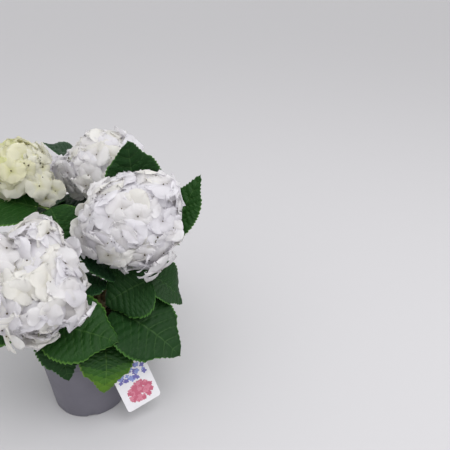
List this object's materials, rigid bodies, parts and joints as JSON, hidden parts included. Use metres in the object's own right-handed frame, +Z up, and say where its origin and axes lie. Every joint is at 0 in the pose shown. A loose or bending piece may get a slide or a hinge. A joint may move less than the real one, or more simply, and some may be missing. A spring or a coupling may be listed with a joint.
{
  "type": "potted mophead hydrangea",
  "caption": "Mophead hydrangea in a round nursery pot, with broad leaves, white flower heads on short canes and a plant label.",
  "frame": {"origin": "centre of the pot's flat underside, where the potted plant stands on the ground", "axes": "+Z up, +Y away from the side shown in the picture, +X to that view's right"},
  "size_m": [0.334, 0.3571, 0.3292],
  "materials": {
    "pot_plastic": "matte, thin moulded grey plastic",
    "compost": "damp dark peat compost",
    "label_card": "white printed card with a satin coat",
    "bark": "dull olive-brown bark",
    "leaf": "satin leaf, dark green with paler ribs",
    "petal_white": "matte white petals with a faint lilac shade",
    "petal_green": "matte cream petals that are still partly green"
  },
  "bodies": {
    "root": {"pot": "pot_plastic", "compost": "compost", "plant_label": "label_card", "woody_foot": "bark", "cane_front": "bark", "leaves_front": "leaf", "flower_front": "petal_white", "cane_right": "bark", "leaves_right": "leaf", "flower_right": "petal_white", "cane_back": "bark", "leaves_back": "leaf", "flower_back": "petal_white", "cane_back_left": "bark", "leaves_back_left": "leaf", "flower_back_left": "petal_green", "cane_left": "bark", "leaves_left": "leaf", "flower_left": "petal_white", "cane_far_back": "bark", "leaves_far_back": "leaf", "flower_far_back": "petal_white", "cane_far_right": "bark", "leaves_far_right": "leaf", "flower_far_right": "petal_white"}
  },
  "joints": []
}
